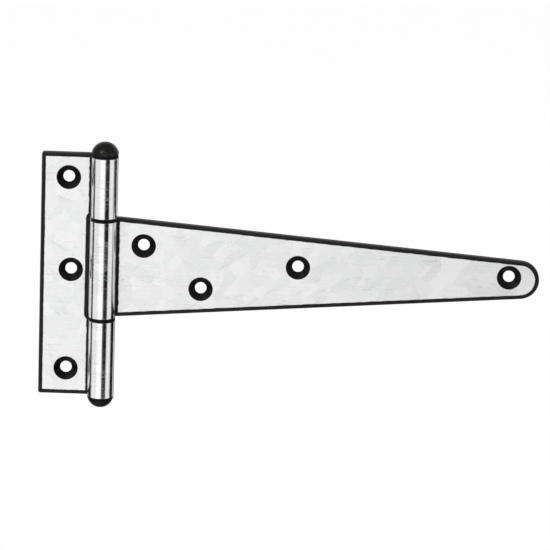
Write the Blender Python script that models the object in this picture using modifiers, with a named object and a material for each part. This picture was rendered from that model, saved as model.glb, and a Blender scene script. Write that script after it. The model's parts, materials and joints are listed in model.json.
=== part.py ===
"""T hinge: a rectangular jamb leaf and a long tapered strap leaf on one riveted pin.

Each leaf is one piece of sheet steel whose edge is rolled round the pin. The jamb leaf carries the upper and
lower knuckles, the strap leaf the long middle one, and the pin is riveted fast in the jamb leaf's knuckles.

Frame, in metres: +X along the strap, +Y into the post and gate that the leaves are screwed to, +Z up along the
pin. The origin lies on the mounting plane, straight behind the pin's axis, level with the strap's centre line.
"""

import math

import bmesh
import bpy
from mathutils import Matrix, Vector

MM = 0.001

# Sheet and barrel
SHEET = 2.2 * MM
BARREL_RADIUS = 4.8 * MM
BORE_RADIUS = BARREL_RADIUS - SHEET
SEAM_GAP = 0.25 * MM  # between the end of the roll and its own leaf
KNUCKLE_GAP = 0.3 * MM  # between neighbouring knuckles
AXIS = Vector((0, -BARREL_RADIUS, 0))

# Strap leaf: its half width at the barrel is half the length of its knuckle
STRAP_REACH = 157.3 * MM  # from the pin's axis to the tip
STRAP_HALF_WIDTH = 18.4 * MM
STRAP_STRAIGHT = 5.8 * MM  # the taper starts just clear of the barrel
TIP_RADIUS = 7.0 * MM

# Jamb leaf: it reaches a little further below the strap's centre line than above it
JAMB_WIDTH = 22.8 * MM  # from the pin's axis to the outer edge
JAMB_TOP = 41.8 * MM
JAMB_BOTTOM = -48.2 * MM
CORNER_RADIUS = 0.9 * MM
NOTCH_HALF = STRAP_HALF_WIDTH + KNUCKLE_GAP
NOTCH_EDGE = BARREL_RADIUS + KNUCKLE_GAP  # from the axis, so that the strap's knuckle turns past it

# Pin
PIN_RADIUS = BORE_RADIUS - 0.1 * MM
HEAD_RADIUS = 4.8 * MM
HEAD_SIDE = 1.5 * MM  # the straight side below the dome
HEAD_HEIGHT = 4.8 * MM
TAIL_RADIUS = 4.6 * MM
TAIL_HEIGHT = 3.5 * MM
SEAT_GAP = 0.25 * MM  # between a rivet head and the knuckle that it sits on

# Countersunk screw holes, for a screw of about 4 mm: a 90 degree cone through nearly the whole sheet
SINK_RADIUS = 4.2 * MM
HOLE_RADIUS = 2.1 * MM
CUT_MARGIN = 1.0 * MM
JAMB_HOLES = ((-13.0 * MM, 32.8 * MM), (-11.7 * MM, -1.4 * MM), (-12.9 * MM, -38.5 * MM))
STRAP_HOLES = (
    (14.4 * MM, 8.2 * MM),
    (35.3 * MM, -7.2 * MM),
    (70.2 * MM, 2.0 * MM),
    (146.4 * MM, 0.9 * MM),
)

# How finely round shapes are divided
ROLL_STEPS = 56
TIP_STEPS = 24
CORNER_STEPS = 5
HOLE_STEPS = 40
PIN_STEPS = 40
DOME_STEPS = 9
WELD = 0.001 * MM

ZINC = ("zinc_plated_steel", (0.60, 0.61, 0.62), 0.38)
PIN_STEEL = ("pin_steel", (0.13, 0.13, 0.135), 0.42)


def clear_scene():
    """Removes the objects of the scene that this script starts in."""
    for obj in list(bpy.data.objects):
        bpy.data.objects.remove(obj)


def new_collection(name):
    made = bpy.data.collections.new(name)
    bpy.context.scene.collection.children.link(made)
    return made


def metal(name, colour, roughness):
    """A Principled metal of one colour."""
    material = bpy.data.materials.new(name)
    material.use_nodes = True
    shader = material.node_tree.nodes["Principled BSDF"]
    shader.inputs["Base Color"].default_value = (*colour, 1)
    shader.inputs["Roughness"].default_value = roughness
    shader.inputs["Metallic"].default_value = 1.0
    return material


def arc(centre, radius, start, end, steps):
    """Points on an arc, from angle start to angle end, both ends included."""
    angles = [start + (end - start) * i / steps for i in range(steps + 1)]
    return [(centre[0] + radius * math.cos(a), centre[1] + radius * math.sin(a)) for a in angles]


def prism(name, outline, low, high, upright, collection):
    """A flat outline extruded from low to high: along Z, or along Y where upright says that its plane is XZ."""
    curve = bpy.data.curves.new(name, "CURVE")
    curve.dimensions = "2D"
    curve.fill_mode = "BOTH"
    curve.extrude = (high - low) / 2
    spline = curve.splines.new("POLY")
    spline.points.add(len(outline) - 1)
    for point, (u, v) in zip(spline.points, outline):
        point.co = (u, v, 0, 1)
    spline.use_cyclic_u = True
    drawn = bpy.data.objects.new(name + "_curve", curve)
    collection.objects.link(drawn)
    middle = (low + high) / 2
    drawn.location = (0, middle, 0) if upright else (0, 0, middle)
    drawn.rotation_euler = (math.pi / 2 if upright else 0, 0, 0)
    bpy.context.view_layer.update()

    graph = bpy.context.evaluated_depsgraph_get()
    mesh = bpy.data.meshes.new_from_object(drawn.evaluated_get(graph))
    mesh.transform(drawn.matrix_world)
    bpy.data.objects.remove(drawn)
    edit = bmesh.new()
    edit.from_mesh(mesh)
    bmesh.ops.remove_doubles(edit, verts=edit.verts, dist=WELD)
    bmesh.ops.recalc_face_normals(edit, faces=edit.faces)
    edit.to_mesh(mesh)
    edit.free()
    made = bpy.data.objects.new(name, mesh)
    collection.objects.link(made)
    return made


def turned(name, profile, steps, collection):
    """A solid turned about Z from (radius, height) points that run down its outer side, from axis to axis."""
    mesh = bpy.data.meshes.new(name)
    links = [(i, i + 1) for i in range(len(profile) - 1)]
    mesh.from_pydata([(radius, 0, height) for radius, height in profile], links, [])
    made = bpy.data.objects.new(name, mesh)
    collection.objects.link(made)
    screw = made.modifiers.new("turn", "SCREW")
    screw.steps = steps
    screw.render_steps = steps
    screw.use_merge_vertices = True
    screw.merge_threshold = WELD
    return made


def boolean(target, other, operation):
    """Joins target with a helper, which is then left out of the part."""
    modifier = target.modifiers.new(other.name, "BOOLEAN")
    modifier.operation = operation
    modifier.solver = "EXACT"
    modifier.object = other
    other.hide_render = True
    other.display_type = "WIRE"


def rolled_section(side, length):
    """Outline in XY of a leaf: it runs to side * length and curls round the pin until it nearly meets itself."""
    end = 2 * math.pi - math.acos((BORE_RADIUS - SEAM_GAP) / BARREL_RADIUS)

    def curl(radius, turn):
        return (-side * radius * math.sin(turn), AXIS.y + radius * math.cos(turn))

    turns = [end * i / ROLL_STEPS for i in range(ROLL_STEPS + 1)]
    outer = [curl(BARREL_RADIUS, turn) for turn in turns]
    inner = [curl(BORE_RADIUS, turn) for turn in reversed(turns)]
    return [(side * length, 0), *outer, *inner, (side * length, -SHEET)]


def jamb_outline():
    """Outline in XZ of the jamb leaf's blank: a rectangle with a notch for the strap's knuckle."""
    past_barrel = BARREL_RADIUS + CUT_MARGIN
    left = -JAMB_WIDTH + CORNER_RADIUS
    turn = math.pi / 2
    lower = arc((left, JAMB_BOTTOM + CORNER_RADIUS), CORNER_RADIUS, 2 * turn, 3 * turn, CORNER_STEPS)
    upper = arc((left, JAMB_TOP - CORNER_RADIUS), CORNER_RADIUS, turn, 2 * turn, CORNER_STEPS)
    notch = -NOTCH_EDGE + CORNER_RADIUS
    notch_low = arc((notch, CORNER_RADIUS - NOTCH_HALF), CORNER_RADIUS, 3 * turn, 2 * turn, CORNER_STEPS)
    notch_high = arc((notch, NOTCH_HALF - CORNER_RADIUS), CORNER_RADIUS, 2 * turn, turn, CORNER_STEPS)
    return [
        *lower,
        (past_barrel, JAMB_BOTTOM),
        (past_barrel, -NOTCH_HALF),
        *notch_low,
        *notch_high,
        (past_barrel, NOTCH_HALF),
        (past_barrel, JAMB_TOP),
        *upper,
    ]


def strap_outline():
    """Outline in XZ of the strap's blank: straight past the barrel, then tapering to touch the round tip."""
    centre = STRAP_REACH - TIP_RADIUS
    run = centre - STRAP_STRAIGHT
    slope = math.atan2(STRAP_HALF_WIDTH, run) - math.asin(TIP_RADIUS / math.hypot(run, STRAP_HALF_WIDTH))
    touch = math.pi / 2 - slope
    back = -BARREL_RADIUS - CUT_MARGIN
    return [
        (back, -STRAP_HALF_WIDTH),
        (STRAP_STRAIGHT, -STRAP_HALF_WIDTH),
        *arc((centre, 0), TIP_RADIUS, -touch, touch, TIP_STEPS),
        (STRAP_STRAIGHT, STRAP_HALF_WIDTH),
        (back, STRAP_HALF_WIDTH),
    ]


def sink_cutter(name, x, z, collection):
    """The space of one countersunk hole, turned on Z and laid along Y with its wide mouth to the front."""
    front = SHEET
    cone_depth = SINK_RADIUS - HOLE_RADIUS
    profile = [
        (0, front + CUT_MARGIN),
        (SINK_RADIUS + CUT_MARGIN, front + CUT_MARGIN),
        (HOLE_RADIUS, front - cone_depth),
        (HOLE_RADIUS, -CUT_MARGIN),
        (0, -CUT_MARGIN),
    ]
    cutter = turned(name, profile, HOLE_STEPS, collection)
    cutter.location = (x, 0, z)
    cutter.rotation_euler = (math.pi / 2, 0, 0)
    return cutter


def leaf(name, side, length, low, high, outline, holes, parts, cutters):
    """A leaf with its knuckles: the rolled section cut to the blank's outline, then countersunk."""
    made = prism(name, rolled_section(side, length), low, high, False, parts)
    front = -2 * BARREL_RADIUS - CUT_MARGIN
    blank = prism(name + "_outline", outline, front, CUT_MARGIN, True, cutters)
    boolean(made, blank, "INTERSECT")
    for number, (x, z) in enumerate(holes, 1):
        boolean(made, sink_cutter(f"{name}_hole_{number}", x, z, cutters), "DIFFERENCE")
    return made


def jamb_leaf(parts, cutters):
    """The rectangular leaf that is screwed to the post."""
    reach = JAMB_WIDTH + CUT_MARGIN
    low, high = JAMB_BOTTOM - CUT_MARGIN, JAMB_TOP + CUT_MARGIN
    return leaf("jamb_leaf", -1, reach, low, high, jamb_outline(), JAMB_HOLES, parts, cutters)


def strap_leaf(parts, cutters):
    """The tapered leaf that is screwed to the gate, with its origin moved onto the pin's axis."""
    reach = STRAP_REACH + CUT_MARGIN
    half = STRAP_HALF_WIDTH + CUT_MARGIN
    made = leaf("strap_leaf", 1, reach, -half, half, strap_outline(), STRAP_HOLES, parts, cutters)
    swing = bpy.data.objects.new("strap_swing", None)
    swing.location = AXIS
    parts.objects.link(swing)
    made.data.transform(Matrix.Translation(-AXIS))
    made.parent = swing
    return made


def dome(radius, height, upward):
    """Points of a spherical cap of that foot radius and height, from its crown to its rim."""
    ball = (radius**2 + height**2) / (2 * height)
    reach = math.atan2(radius, ball - height)
    angles = [reach * i / DOME_STEPS for i in range(DOME_STEPS + 1)]
    way = 1 if upward else -1
    return [(ball * math.sin(a), way * (height - ball + ball * math.cos(a))) for a in angles]


def hinge_pin(parts):
    """The pin: a domed head on the upper knuckle, the shank, and a lower end riveted over."""
    head_seat = JAMB_TOP + SEAT_GAP
    tail_seat = JAMB_BOTTOM - SEAT_GAP
    crown = dome(HEAD_RADIUS, HEAD_HEIGHT - HEAD_SIDE, True)
    head = [(radius, head_seat + HEAD_SIDE + height) for radius, height in crown]
    tail = [(radius, tail_seat + height) for radius, height in dome(TAIL_RADIUS, TAIL_HEIGHT, False)]
    profile = [
        *head,
        (HEAD_RADIUS, head_seat),
        (PIN_RADIUS, head_seat),
        (PIN_RADIUS, tail_seat),
        *reversed(tail),
    ]
    made = turned("hinge_pin", profile, PIN_STEPS, parts)
    made.location = AXIS
    return made


def main():
    clear_scene()
    parts = new_collection("t_hinge")
    cutters = new_collection("cutters")
    zinc = metal(*ZINC)
    steel = metal(*PIN_STEEL)
    jamb_leaf(parts, cutters).data.materials.append(zinc)
    strap_leaf(parts, cutters).data.materials.append(zinc)
    hinge_pin(parts).data.materials.append(steel)


main()
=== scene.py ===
"""The looks of a T hinge: two leaves of galvanised sheet steel rolled round a dark riveted pin.

Each leaf is drawn flat first, as the blank that is stamped from the sheet, with sheared edges and
countersunk holes. Its tabs are then rolled round the pin, as they are on the real hinge. In the blank, u
runs from the pin's axis out along the leaf and is negative on the tabs, z runs along the pin, and depth is
measured from the back.
"""

import json
import math

import bmesh
import bpy
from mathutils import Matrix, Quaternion, Vector


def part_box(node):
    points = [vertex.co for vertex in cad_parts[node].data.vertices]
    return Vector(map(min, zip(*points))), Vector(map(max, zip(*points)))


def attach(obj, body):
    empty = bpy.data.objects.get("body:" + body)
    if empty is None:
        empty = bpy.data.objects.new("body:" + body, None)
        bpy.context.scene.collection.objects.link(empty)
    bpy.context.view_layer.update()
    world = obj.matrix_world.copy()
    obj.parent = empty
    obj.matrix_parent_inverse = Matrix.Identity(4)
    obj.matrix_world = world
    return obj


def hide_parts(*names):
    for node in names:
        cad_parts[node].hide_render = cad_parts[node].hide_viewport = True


MM = 0.001
TURN = 2 * math.pi

# The camera: nearly square to the leaves, a little above them, from far off
ELEVATION = math.radians(15)
ROLL = math.radians(1.9)
LENS = 250
SENSOR = 36
VIEW_WIDTH = 198.4 * MM
VIEW_CENTRE = Vector((62.0, -2.2, -0.97)) * MM

# Sheet
SHEET = 2.2 * MM
SEAM_GAP = 0.25 * MM
ROLL_STEPS = 84

# Outlines of the blanks
CORNER_RADIUS = 0.9 * MM
TAB_CORNER_RADIUS = 0.5 * MM
TIP_RADIUS = 7.0 * MM
STRAP_STRAIGHT = 5.8 * MM
KNUCKLE_GAP = 0.3 * MM
CORNER_STEP = math.radians(7.5)
LEAST_RADIUS = 0.2 * MM
NEAR = 0.002 * MM
SHARP_ANGLE = math.radians(40)

# Sheared edges, as (inset, depth from the front or back): pulled down in front, a small break behind
EDGE_PULL = 0.60 * MM
EDGE_DROP = 0.34 * MM
PULL_STEPS = 6
BREAK_INSET = 0.07 * MM
BREAK_DEPTH = 0.10 * MM
BORDER = 1.8 * MM
DARK_BORDER = 1.5 * MM
RAGGEDNESS = 0.09 * MM  # how softly the dark border ends

# Holes
SINK_RADIUS = 4.2 * MM
HOLE_RADIUS = 2.1 * MM
HOLE_BORDER = 0.25 * MM
RIM = 0.06 * MM
HOLE_STEPS = 72
TOOL_PITCH = 0.26 * MM  # between the rings that the countersinking tool leaves
JAMB_HOLES = ((13.0 * MM, 32.8 * MM), (11.7 * MM, -1.4 * MM), (12.9 * MM, -38.5 * MM))
STRAP_HOLES = (
    (14.4 * MM, 8.2 * MM),
    (35.3 * MM, -7.2 * MM),
    (70.2 * MM, 2.0 * MM),
    (146.4 * MM, 0.9 * MM),
)

# Pin
PIN_RADIUS = 2.5 * MM
HEAD_RADIUS = 4.8 * MM
HEAD_SIDE = 1.5 * MM
HEAD_HEIGHT = 4.8 * MM
TAIL_RADIUS = 4.6 * MM
TAIL_HEIGHT = 3.5 * MM
EASE = 0.09 * MM  # taken off the rims of the head and the tail
HAMMER_BLOWS = 19
BLOW_DEPTH = 0.11 * MM
BLOW_FALL = 0.5  # how much lighter the outermost blow is
GOLDEN_ANGLE = math.pi * (3 - math.sqrt(5))
PIN_STEPS = 96
DOME_STEPS = 24

# Studio
FLOOR_HALF = 12.0
FLOOR_HEIGHT = -0.9
KEY_PLACE = (-0.9, -1.2, 1.1)
KEY_SIZE = (0.5, 0.5)
KEY_POWER = 8
AMBIENT = 1.02  # the world's strength but for reflections
REFLECTED = 0.95  # its strength in reflections, where nothing darkens or lightens it
PANEL = (-12, 18, 12)  # bands of azimuth from the front, in degrees: centre, half width, softness
STRIP = (26, 18, 4)
SIDES = (109, 19, 6)
BACK = (180, 34, 6)

# Material slots of a leaf
SHEET_FACE, SHEET_EDGE, SHEET_SINK = range(3)


# --- Mesh work ------------------------------------------------------------------------------------


def rounded(corners, inset):
    """The outline through anticlockwise (u, z, radius) corners, drawn as arcs, moved inwards by inset."""
    outline = []
    for i, (u, z, radius) in enumerate(corners):
        corner = Vector((u, z))
        before = (Vector(corners[i - 1][:2]) - corner).normalized()
        after = (Vector(corners[(i + 1) % len(corners)][:2]) - corner).normalized()
        half = before.angle(after) / 2
        outward = 1 if after.x * before.y - after.y * before.x > 0 else -1
        inwards = (before + after).normalized()
        centre = corner + inwards * radius / math.sin(half)
        spoke = corner + before * radius / math.tan(half) - centre
        start = math.atan2(spoke.y, spoke.x)
        turn = math.pi - 2 * half
        steps = max(1, math.ceil(turn / CORNER_STEP))
        new_radius = radius - outward * inset
        if new_radius < LEAST_RADIUS:
            centre += inwards * (LEAST_RADIUS - new_radius) / math.sin(half)
            new_radius = LEAST_RADIUS
        for k in range(steps + 1):
            angle = start + outward * turn * k / steps
            outline.append(centre + new_radius * Vector((math.cos(angle), math.sin(angle))))
    return outline


def circle(centre, radius, steps):
    """A ring of points round centre."""
    angles = [TURN * k / steps for k in range(steps)]
    return [Vector(centre) + radius * Vector((math.cos(a), math.sin(a))) for a in angles]


def edge_profile():
    """(inset, depth) down a sheared edge, from the border of the front to the border of the back."""
    profile = [(BORDER, SHEET)]
    for k in range(PULL_STEPS + 1):
        angle = math.pi / 2 * k / PULL_STEPS
        profile.append((EDGE_PULL * (1 - math.sin(angle)), SHEET - EDGE_DROP * (1 - math.cos(angle))))
    profile.append((0, BREAK_DEPTH))
    profile.append((BREAK_INSET, 0))
    profile.append((BORDER, 0))
    return profile


def hole_profile():
    """(radius, depth) down a countersunk hole, from its border in front to its border behind."""
    land = SHEET - (SINK_RADIUS - HOLE_RADIUS)
    return [
        (SINK_RADIUS + HOLE_BORDER, SHEET),
        (SINK_RADIUS + RIM, SHEET),
        (SINK_RADIUS, SHEET - RIM * 0.4),
        (SINK_RADIUS - RIM, SHEET - RIM * 1.2),
        ((SINK_RADIUS + HOLE_RADIUS) / 2, SHEET - (SINK_RADIUS - HOLE_RADIUS) / 2),
        (HOLE_RADIUS, land),
        (HOLE_RADIUS, land / 2),
        (HOLE_RADIUS + land / 2, 0),
        (HOLE_RADIUS + land / 2 + HOLE_BORDER, 0),
    ]


class Blank:
    """A flat sheet in (u, depth, z), built ring by ring."""

    def __init__(self):
        self.edit = bmesh.new()
        self.inside = self.edit.verts.layers.float.new("inside")
        self.radius = self.edit.verts.layers.float.new("radius")

    def ring(self, points, depth, inside, radius=0.0):
        """A ring of vertices. inside is how far they lie in from an edge, and is stretched round a hole."""
        made = []
        for u, z in points:
            vertex = self.edit.verts.new((u, depth, z))
            vertex[self.inside] = inside / MM
            vertex[self.radius] = radius
            made.append(vertex)
        return made

    def bridge(self, one, other, material):
        for k in range(len(one)):
            after = (k + 1) % len(one)
            face = self.edit.faces.new((one[k], one[after], other[after], other[k]))
            face.material_index = material

    def fill(self, rings):
        """Closes the flat sheet between an outline and its holes."""
        edges = []
        for points in rings:
            for k, vertex in enumerate(points):
                edges.append(self.edit.edges.get((vertex, points[(k + 1) % len(points)])))
        bmesh.ops.triangle_fill(self.edit, edges=edges, use_beauty=True, use_dissolve=False, normal=(0, 1, 0))


def blank(corners, holes):
    """The stamped blank with its holes."""
    sheet = Blank()
    fronts, backs = [], []

    profile = edge_profile()
    rings = []
    for inset, depth in profile:
        rings.append(sheet.ring(rounded(corners, inset), depth, inset))
    last = len(rings) - 2
    for k in range(len(rings) - 1):
        sheet.bridge(rings[k], rings[k + 1], SHEET_FACE if k in (0, last) else SHEET_EDGE)
    fronts.append(rings[0])
    backs.append(rings[-1])

    for centre in holes:
        profile = hole_profile()
        rings = []
        for radius, depth in profile:
            outer = (radius, depth) in (profile[0], profile[-1])
            points = circle(centre, radius, HOLE_STEPS)
            rings.append(sheet.ring(points, depth, BORDER if outer else 0, radius))
        last = len(rings) - 2
        for k in range(len(rings) - 1):
            sheet.bridge(rings[k], rings[k + 1], SHEET_FACE if k in (0, last) else SHEET_SINK)
        fronts.append(rings[0])
        backs.append(rings[-1])

    sheet.fill(fronts)
    sheet.fill(backs)
    return sheet.edit


def roll_up(edit, side):
    """Rolls the tabs, where u is negative, round the pin, and lays the rest along side."""
    middle = BARREL_RADIUS - SHEET / 2
    end = roll_end()
    for k in range(ROLL_STEPS + 1):
        where = -middle * end * k / ROLL_STEPS
        everything = edit.verts[:] + edit.edges[:] + edit.faces[:]
        bmesh.ops.bisect_plane(edit, geom=everything, dist=NEAR, plane_co=(where, 0, 0), plane_no=(1, 0, 0))
    bmesh.ops.dissolve_degenerate(edit, dist=NEAR, edges=edit.edges)
    sheet_map = edit.loops.layers.uv.new("sheet")
    for face in edit.faces:
        for loop in face.loops:
            loop[sheet_map].uv = (loop.vert.co.x / MM, loop.vert.co.z / MM)
    depth_layer = edit.verts.layers.float.new("depth")
    for vertex in edit.verts:
        u, depth, z = vertex.co
        vertex[depth_layer] = depth / SHEET
        if u >= 0:
            vertex.co = (side * u, -depth, z)
            continue
        turn = -u / middle
        radius = BARREL_RADIUS - depth
        vertex.co = (-side * radius * math.sin(turn), AXIS.y + radius * math.cos(turn), z)


def roll_end():
    """The angle at which the end of the roll nearly meets the front of its own leaf."""
    return TURN - math.acos((BARREL_RADIUS - SHEET - SEAM_GAP) / BARREL_RADIUS)


def tab_end():
    """How far the blank's tabs reach, measured along the middle of the sheet."""
    return -(BARREL_RADIUS - SHEET / 2) * roll_end()


def finish_mesh(name, edit, materials):
    """Makes an object of a mesh, smooth but for its sharp edges."""
    bmesh.ops.recalc_face_normals(edit, faces=edit.faces)
    if edit.calc_volume(signed=True) < 0:
        bmesh.ops.reverse_faces(edit, faces=edit.faces)
    mesh = bpy.data.meshes.new(name)
    edit.to_mesh(mesh)
    edit.free()
    mesh.shade_smooth()
    mesh.set_sharp_from_angle(angle=SHARP_ANGLE)
    for material in materials:
        mesh.materials.append(material)
    made = bpy.data.objects.new(name, mesh)
    bpy.context.scene.collection.objects.link(made)
    weighted = made.modifiers.new("flat faces stay flat", "WEIGHTED_NORMAL")
    weighted.keep_sharp = True
    weighted.weight = 100
    return made


# --- The pieces -----------------------------------------------------------------------------------


def jamb_sheet(materials):
    """The jamb leaf: a plain rectangle, notched for the strap's knuckle, with two tabs."""
    low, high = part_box("jamb_leaf")
    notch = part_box("strap_leaf")[1].z + KNUCKLE_GAP
    notch_edge = BARREL_RADIUS + KNUCKLE_GAP
    outer = -low.x
    end = tab_end()
    corners = (
        (outer, low.z, CORNER_RADIUS),
        (outer, high.z, CORNER_RADIUS),
        (end, high.z, TAB_CORNER_RADIUS),
        (end, notch, TAB_CORNER_RADIUS),
        (notch_edge, notch, CORNER_RADIUS),
        (notch_edge, -notch, CORNER_RADIUS),
        (end, -notch, TAB_CORNER_RADIUS),
        (end, low.z, TAB_CORNER_RADIUS),
    )
    edit = blank(corners, JAMB_HOLES)
    roll_up(edit, -1)
    return finish_mesh("jamb_leaf_sheet", edit, materials)


def strap_sheet(materials):
    """The strap leaf: tapered to a round tip, which is the rounded corner where its two sides would meet."""
    low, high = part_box("strap_leaf")
    half = high.z
    run = high.x - TIP_RADIUS - STRAP_STRAIGHT
    slope = math.atan2(half, run) - math.asin(TIP_RADIUS / math.hypot(run, half))
    end = tab_end()
    corners = (
        (STRAP_STRAIGHT, -half, CORNER_RADIUS),
        (STRAP_STRAIGHT + half / math.tan(slope), 0, TIP_RADIUS),
        (STRAP_STRAIGHT, half, CORNER_RADIUS),
        (end, half, TAB_CORNER_RADIUS),
        (end, -half, TAB_CORNER_RADIUS),
    )
    edit = blank(corners, STRAP_HOLES)
    roll_up(edit, 1)
    return finish_mesh("strap_leaf_sheet", edit, materials)


def cap(radius, height):
    """(radius, height) points of a spherical cap, from its crown to its rim."""
    ball = (radius**2 + height**2) / (2 * height)
    reach = math.atan2(radius, ball - height)
    angles = [reach * (k + 1) / DOME_STEPS for k in range(DOME_STEPS)]
    return [(ball * math.sin(a), height - ball + ball * math.cos(a)) for a in angles]


def turned(profile, top, bottom):
    """A solid of revolution about the pin's axis, from its top point down a profile to its bottom point."""
    edit = bmesh.new()
    rings = []
    for radius, height in profile:
        points = circle((AXIS.x, AXIS.y), radius, PIN_STEPS)
        rings.append([edit.verts.new((x, y, height)) for x, y in points])
    for one, other in zip(rings, rings[1:]):
        for k in range(PIN_STEPS):
            after = (k + 1) % PIN_STEPS
            edit.faces.new((one[k], one[after], other[after], other[k]))
    for height, ring in ((top, rings[0]), (bottom, rings[-1])):
        crown = edit.verts.new((AXIS.x, AXIS.y, height))
        for k in range(PIN_STEPS):
            edit.faces.new((crown, ring[k], ring[(k + 1) % PIN_STEPS]))
    return edit


def hammer(edit, seat):
    """Flattens the riveted tail below seat with a spiral of hammer blows, hardest at its crown."""
    ball = (TAIL_RADIUS**2 + TAIL_HEIGHT**2) / (2 * TAIL_HEIGHT)
    middle = Vector((AXIS.x, AXIS.y, seat - TAIL_HEIGHT + ball))
    reach = math.asin(TAIL_RADIUS / ball)
    tail = [vertex for vertex in edit.verts if vertex.co.z < seat]
    for k in range(HAMMER_BLOWS):
        tilt = reach * math.sqrt(k / HAMMER_BLOWS)
        way = k * GOLDEN_ANGLE
        blow = Vector((math.sin(tilt) * math.cos(way), math.sin(tilt) * math.sin(way), -math.cos(tilt)))
        limit = ball - BLOW_DEPTH * (1 - BLOW_FALL * k / HAMMER_BLOWS)
        for vertex in tail:
            proud = (vertex.co - middle).dot(blow) - limit
            if proud > 0:
                vertex.co -= blow * proud


def pin(material):
    """The pin: a domed head with a straight side, the shank, and a tail riveted over by hammer."""
    low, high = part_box("hinge_pin")
    head_seat = high.z - HEAD_HEIGHT
    tail_seat = low.z + TAIL_HEIGHT
    side_top = head_seat + HEAD_SIDE
    head = cap(HEAD_RADIUS - EASE, HEAD_HEIGHT - HEAD_SIDE)
    tail = cap(TAIL_RADIUS, TAIL_HEIGHT)
    profile = [
        *[(radius, side_top + height) for radius, height in head],
        (HEAD_RADIUS - EASE / 3, side_top - EASE / 3),
        (HEAD_RADIUS, side_top - EASE),
        (HEAD_RADIUS, head_seat + EASE),
        (HEAD_RADIUS - EASE, head_seat),
        (PIN_RADIUS, head_seat),
        (PIN_RADIUS, tail_seat),
        (TAIL_RADIUS - EASE, tail_seat),
        *[(radius, tail_seat - height) for radius, height in reversed(tail)],
    ]
    edit = turned(profile, high.z, low.z)
    hammer(edit, tail_seat)
    return finish_mesh("hinge_pin_turned", edit, [material])


# --- Materials ------------------------------------------------------------------------------------


def add(tree, kind, inputs=(), **settings):
    """A new node. An input is either a value or the output of another node."""
    made = tree.nodes.new(kind)
    for name, value in settings.items():
        setattr(made, name, value)
    for name, value in dict(inputs).items():
        if isinstance(value, bpy.types.NodeSocket):
            tree.links.new(value, made.inputs[name])
        else:
            made.inputs[name].default_value = value
    return made


def maths(tree, operation, one, other=0.0):
    return add(tree, "ShaderNodeMath", {0: one, 1: other}, operation=operation).outputs[0]


def fade(tree, value, start, end, low=0.0, high=1.0):
    """low before start, high after end, and smooth between them."""
    inputs = {"Value": value, "From Min": start, "From Max": end, "To Min": low, "To Max": high}
    return add(tree, "ShaderNodeMapRange", inputs, interpolation_type="SMOOTHSTEP").outputs["Result"]


def scaled(tree, vector, factors):
    return add(tree, "ShaderNodeVectorMath", {0: vector, 1: factors}, operation="MULTIPLY").outputs[0]


def speckle(tree, vector, scale, detail=2.0):
    """Noise from 0 to 1 about a middle of a half."""
    inputs = {"Vector": vector, "Scale": scale, "Detail": detail}
    return add(tree, "ShaderNodeTexNoise", inputs).outputs[0]


def colour_mix(tree, factor, one, other):
    made = add(tree, "ShaderNodeMix", {0: factor, 6: one, 7: other}, data_type="RGBA")
    return made.outputs[2]


def number_mix(tree, factor, one, other):
    made = add(tree, "ShaderNodeMix", {0: factor, 2: one, 3: other}, data_type="FLOAT")
    return made.outputs[0]


def attribute(tree, name):
    return add(tree, "ShaderNodeAttribute", attribute_name=name).outputs["Fac"]


def weighed(tree, *parts):
    """The sum of values, given as (value, weight)."""
    total = 0.0
    for value, weight in parts:
        inputs = {0: value, 1: weight, 2: total}
        total = add(tree, "ShaderNodeMath", inputs, operation="MULTIPLY_ADD").outputs[0]
    return total


def grey(value, warmth=0.0):
    return (value * (1 + warmth), value, value * (1 - warmth), 1)


def new_material(name):
    """An empty metal, as (material, node tree, its shader)."""
    material = bpy.data.materials.new(name)
    material.use_nodes = True
    tree = material.node_tree
    shader = tree.nodes["Principled BSDF"]
    shader.inputs["Metallic"].default_value = 1.0
    return material, tree, shader


def join(tree, shader, colour, roughness, height, strength, distance):
    """Links a colour, a roughness and a bump to the shader."""
    bump = add(tree, "ShaderNodeBump", {"Height": height, "Strength": strength, "Distance": distance})
    tree.links.new(colour, shader.inputs["Base Color"])
    tree.links.new(roughness, shader.inputs["Roughness"])
    tree.links.new(bump.outputs[0], shader.inputs["Normal"])


def blank_place(tree):
    """The place on the flat blank in mm, and how far along the leaf it is, which is negative on a tab."""
    flat = add(tree, "ShaderNodeUVMap", uv_map="sheet").outputs[0]
    return flat, add(tree, "ShaderNodeSeparateXYZ", {0: flat}).outputs[0]


def turned_map(tree, vector, angle):
    inputs = {"Vector": vector, "Angle": angle}
    return add(tree, "ShaderNodeVectorRotate", inputs, rotation_type="Z_AXIS").outputs[0]


def spangle(tree, flat):
    """Zinc crystals: a tone for each, and feathery lines that run their own way in each."""
    wander = add(tree, "ShaderNodeTexNoise", {"Vector": flat, "Scale": 0.5, "Detail": 3.0}).outputs["Color"]
    bent = scaled(tree, wander, (2.6, 2.6, 0))
    bent = add(tree, "ShaderNodeVectorMath", {0: flat, 1: bent}, operation="ADD").outputs[0]
    cells = add(tree, "ShaderNodeTexVoronoi", {"Vector": bent, "Scale": 0.22}, voronoi_dimensions="2D")
    chance = add(tree, "ShaderNodeSeparateColor", {0: cells.outputs["Color"]}).outputs
    own_way = turned_map(tree, flat, maths(tree, "MULTIPLY", chance[1], TURN))
    feather = speckle(tree, scaled(tree, own_way, (0.3, 2.0, 1)), 1.0, 3.0)
    return chance[0], feather


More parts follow.
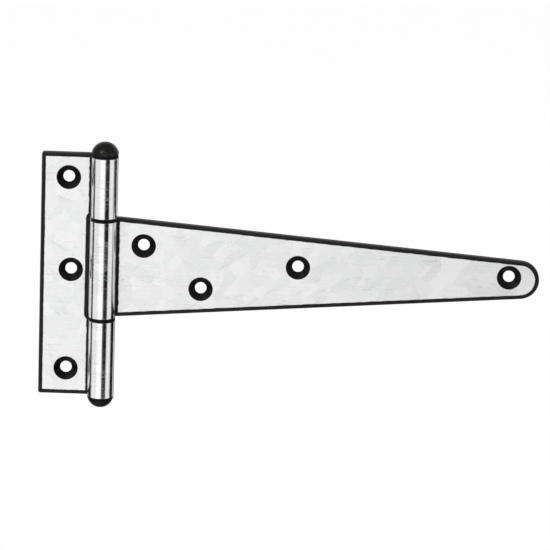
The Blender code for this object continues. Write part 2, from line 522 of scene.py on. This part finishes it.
def scratches(tree, flat, slant):
    """Fine broken lines, 1 on a line and 0 elsewhere, at a slant in degrees to the leaf's length."""
    along = scaled(tree, turned_map(tree, flat, math.radians(slant)), (0.03, 0.5, 1))
    away = maths(tree, "ABSOLUTE", maths(tree, "SUBTRACT", speckle(tree, along, 1.0, 2.0), 0.5))
    line = fade(tree, away, 0.012, 0.0)
    broken = fade(tree, speckle(tree, turned_map(tree, flat, math.radians(slant)), 0.09, 2.0), 0.48, 0.6)
    return maths(tree, "MULTIPLY", line, broken)


def dark_rim(tree, flat, on_leaf):
    """1 in the dark left along the edges, which is broad on the leaf and narrow on the knuckles."""
    inside = maths(tree, "MULTIPLY", attribute(tree, "inside"), number_mix(tree, on_leaf, 2.5, 1.0))
    slow, quick = speckle(tree, flat, 0.25), speckle(tree, flat, 2.0, 3.0)
    ragged = weighed(tree, (inside, 1.0), (slow, 0.4), (quick, 0.14), (-1.0, 0.27))
    return fade(tree, ragged, (DARK_BORDER + RAGGEDNESS) / MM, (DARK_BORDER - RAGGEDNESS) / MM)


def crevice_shade(tree, flat, along):
    """1 in the painted shade beside the barrel: on the front of the leaf, and on the outside of the roll's
    end.
    """
    ragged = weighed(tree, (along, 1.0), (speckle(tree, flat, 0.35, 3.0), 1.0), (-1.0, 0.5))
    reach = BARREL_RADIUS / MM + 0.9
    root = fade(tree, ragged, reach + 0.15, reach - 0.15)
    root = maths(tree, "MULTIPLY", root, fade(tree, along, 0.5, 1.5))
    seam = fade(tree, ragged, tab_end() / MM + 3.5, tab_end() / MM + 2.9)
    front = fade(tree, attribute(tree, "depth"), 0.4, 0.6)
    return number_mix(tree, front, seam, root)


def zinc_face():
    """Galvanised sheet: pale zinc crystals, rolled lines and scratches, dark along its edges, and painted
    shade beside the barrel.
    """
    material, tree, shader = new_material("galvanised_face")
    flat, along = blank_place(tree)
    on_leaf = fade(tree, along, -3.0, 0.0)

    crystal, feather = spangle(tree, flat)
    rolled = speckle(tree, scaled(tree, flat, (0.035, 1.4, 1)), 1.0, 4.0)
    smudge = speckle(tree, flat, 0.045, 3.0)
    grain = speckle(tree, flat, 3.2, 3.0)
    scratch = maths(tree, "MAXIMUM", scratches(tree, flat, 4), scratches(tree, flat, -31))

    tone = weighed(tree, (crystal, 0.32), (feather, 0.30), (smudge, 0.3), (rolled, 0.25), (scratch, -0.35))
    zinc = colour_mix(tree, tone, grey(0.60, -0.012), grey(0.97, 0.0))
    polish = number_mix(tree, on_leaf, 0.04, 0.20)
    rough = weighed(tree, (crystal, 0.07), (smudge, 0.10), (rolled, 0.06), (scratch, 0.08), (polish, 1.0))

    # the dark along the edges, and painted shade in the crevice beside the barrel
    dark = maths(tree, "MAXIMUM", dark_rim(tree, flat, on_leaf), crevice_shade(tree, flat, along))
    patches = speckle(tree, flat, 0.6, 3.0)
    colour = colour_mix(tree, dark, zinc, colour_mix(tree, patches, grey(0.010, 0.05), grey(0.032, 0.03)))
    rough = number_mix(tree, dark, rough, 0.45)
    height = weighed(tree, (rolled, 0.4), (grain, 0.3), (feather, 0.3), (scratch, -0.5), (dark, -0.6))
    join(tree, shader, colour, rough, height, 0.25, 0.00006)
    return material


def cut_edge():
    """Bare sheared steel gone dark: burnished under the front edge, torn and duller below, and streaked."""
    material, tree, shader = new_material("sheared_edge")
    flat = blank_place(tree)[0]
    depth = attribute(tree, "depth")
    streaks = speckle(tree, flat, 3.0, 4.0)
    ragged = weighed(tree, (depth, 1.0), (speckle(tree, flat, 0.8, 3.0), 0.3))
    burnished = fade(tree, ragged, 0.68, 0.78)
    patches = speckle(tree, flat, 0.2, 3.0)
    torn = colour_mix(tree, patches, grey(0.010, 0.05), grey(0.035, 0.05))
    sheen = colour_mix(tree, streaks, grey(0.015, 0.02), grey(0.045, 0.0))
    colour = colour_mix(tree, burnished, torn, sheen)
    rough = number_mix(tree, burnished, 0.55, 0.4)
    join(tree, shader, colour, rough, streaks, 0.5, 0.00015)
    return material


def shaded_sink_face():
    """The cut of the countersinking tool, in fine rings, painted dark like the edges, as shade in the hole.
    """
    material, tree, shader = new_material("countersink")
    flat = blank_place(tree)[0]
    wobble = maths(tree, "MULTIPLY", speckle(tree, flat, 0.7, 2.0), 0.08 * MM)
    radius = maths(tree, "ADD", attribute(tree, "radius"), wobble)
    rings = maths(tree, "SINE", maths(tree, "MULTIPLY", radius, TURN / TOOL_PITCH))
    rings = fade(tree, rings, -1.0, 1.0)
    patches = speckle(tree, flat, 0.5, 3.0)
    tone = weighed(tree, (rings, 0.35), (patches, 0.65))
    # nearly black: painted shade in the hole, over the tool's rings
    colour = colour_mix(tree, tone, grey(0.006, 0.05), grey(0.024, 0.02))
    rough = number_mix(tree, patches, 0.36, 0.5)
    join(tree, shader, colour, rough, rings, 0.3, 0.00004)
    return material


def dark_steel():
    """The pin's oiled black steel, rubbed a little in patches."""
    material, tree, shader = new_material("dark_pin_steel")
    place = add(tree, "ShaderNodeTexCoord").outputs["Object"]
    patches = speckle(tree, place, 260.0, 4.0)
    grain = speckle(tree, place, 2600.0, 3.0)
    rubbed = fade(tree, weighed(tree, (patches, 0.7), (grain, 0.3)), 0.54, 0.66)
    oxide = colour_mix(tree, grain, grey(0.006, 0.04), grey(0.024, 0.03))
    colour = colour_mix(tree, rubbed, oxide, grey(0.07, 0.01))
    rough = number_mix(tree, patches, 0.20, 0.42)
    join(tree, shader, colour, rough, grain, 0.25, 0.00006)
    return material


# --- Studio ---------------------------------------------------------------------------------------


def make_floor():
    """A plain pale floor, well below the hinge, so that it can be seen from below too."""
    mesh = bpy.data.meshes.new("floor")
    square = ((-1, -1), (1, -1), (1, 1), (-1, 1))
    mesh.from_pydata([(x * FLOOR_HALF, y * FLOOR_HALF, 0) for x, y in square], [], [(0, 1, 2, 3)])
    floor = bpy.data.objects.new("floor", mesh)
    bpy.context.scene.collection.objects.link(floor)
    floor.location.z = FLOOR_HEIGHT
    material = bpy.data.materials.new("pale_floor")
    material.use_nodes = True
    shader = material.node_tree.nodes["Principled BSDF"]
    shader.inputs["Base Color"].default_value = (0.97, 0.97, 0.97, 1)
    shader.inputs["Roughness"].default_value = 0.9
    mesh.materials.append(material)
    floor.visible_glossy = False


def area_light(name, place, aim, size, power):
    data = bpy.data.lights.new(name, "AREA")
    data.shape = "RECTANGLE"
    data.size, data.size_y = size
    data.energy = power
    light = bpy.data.objects.new(name, data)
    bpy.context.scene.collection.objects.link(light)
    light.location = place
    light.rotation_mode = "QUATERNION"
    light.rotation_quaternion = (Vector(aim) - Vector(place)).to_track_quat("-Z", "Y")
    light.visible_camera = False


def band(tree, angle, place):
    """1 within a (centre, half width, softness) in degrees, falling to 0 over the softness outside it."""
    centre, half_width, softness = place
    away = maths(tree, "ABSOLUTE", maths(tree, "SUBTRACT", angle, math.radians(centre)))
    return fade(tree, away, math.radians(half_width + softness), math.radians(half_width))


def make_world():
    """Even white light, which metal sees as a studio: a bright panel, a dark strip, dark sides and back."""
    world = bpy.data.worlds.new("studio")
    bpy.context.scene.world = world
    world.use_nodes = True
    tree = world.node_tree
    background = tree.nodes["Background"]
    way = add(tree, "ShaderNodeTexCoord").outputs["Generated"]
    split = add(tree, "ShaderNodeSeparateXYZ", {0: way}).outputs
    front = maths(tree, "MULTIPLY", split[1], -1.0)
    azimuth = maths(tree, "ARCTAN2", split[0], front)
    panel = band(tree, azimuth, PANEL)
    level = fade(tree, maths(tree, "ABSOLUTE", maths(tree, "ADD", split[2], 0.26)), 0.19, 0.12)
    strip = maths(tree, "MULTIPLY", band(tree, azimuth, STRIP), number_mix(tree, level, 0.45, 1.0))
    aside = maths(tree, "ABSOLUTE", azimuth)
    beside = band(tree, aside, SIDES)
    behind = maths(tree, "MULTIPLY", band(tree, aside, BACK), 0.8)
    low = fade(tree, split[2], -0.10, -0.20)
    sides = maths(tree, "MULTIPLY", maths(tree, "MAXIMUM", beside, behind), number_mix(tree, low, 0.15, 0.95))
    dim = maths(tree, "MAXIMUM", maths(tree, "MULTIPLY", strip, 0.95), sides)
    studio = weighed(tree, (panel, 0.25), (dim, -1.0), (REFLECTED, 1.0))
    glossy = add(tree, "ShaderNodeLightPath").outputs["Is Glossy Ray"]
    tree.links.new(number_mix(tree, glossy, AMBIENT, studio), background.inputs["Strength"])
    background.inputs["Color"].default_value = (1, 1, 1, 1)
    world.cycles.sampling_method = "NONE"


def make_lights():
    make_world()
    area_light("key", KEY_PLACE, VIEW_CENTRE, KEY_SIZE, KEY_POWER)


def make_camera():
    """A long lens at the picture's angle, turned a little so that the hinge leans clockwise."""
    data = bpy.data.cameras.new("camera")
    data.lens = LENS
    data.sensor_width = SENSOR
    camera = bpy.data.objects.new("camera", data)
    bpy.context.scene.collection.objects.link(camera)
    back = Vector((0, -math.cos(ELEVATION), math.sin(ELEVATION)))
    distance = VIEW_WIDTH * LENS / SENSOR
    camera.location = VIEW_CENTRE + back * distance
    camera.rotation_mode = "QUATERNION"
    camera.rotation_quaternion = (-back).to_track_quat("-Z", "Y") @ Quaternion((0, 0, 1), ROLL)
    data.clip_start = 0.01
    data.clip_end = 100
    bpy.context.scene.camera = camera


# --- The scene ------------------------------------------------------------------------------------

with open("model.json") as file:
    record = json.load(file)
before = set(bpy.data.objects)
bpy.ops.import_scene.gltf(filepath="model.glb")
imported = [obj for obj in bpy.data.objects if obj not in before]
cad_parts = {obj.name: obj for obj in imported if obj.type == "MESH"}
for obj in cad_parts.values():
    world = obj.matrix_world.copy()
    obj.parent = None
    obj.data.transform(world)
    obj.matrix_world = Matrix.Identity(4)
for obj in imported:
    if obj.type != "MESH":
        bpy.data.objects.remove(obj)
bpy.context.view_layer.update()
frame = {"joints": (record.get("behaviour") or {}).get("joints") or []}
AXIS = Vector(frame["joints"][0]["pos_m"])
BARREL_RADIUS = -AXIS.y

sheet_materials = (zinc_face(), cut_edge(), shaded_sink_face())
for piece, body, node, slot in (
    (jamb_sheet(sheet_materials), "jamb", "jamb_leaf", "zinc_plated_steel"),
    (strap_sheet(sheet_materials), "strap", "strap_leaf", "zinc_plated_steel"),
    (pin(dark_steel()), "jamb", "hinge_pin", "pin_steel"),
):
    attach(piece, body)
    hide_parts(node)

make_floor()
make_lights()
make_camera()
bpy.context.scene.view_settings.view_transform = "Standard"
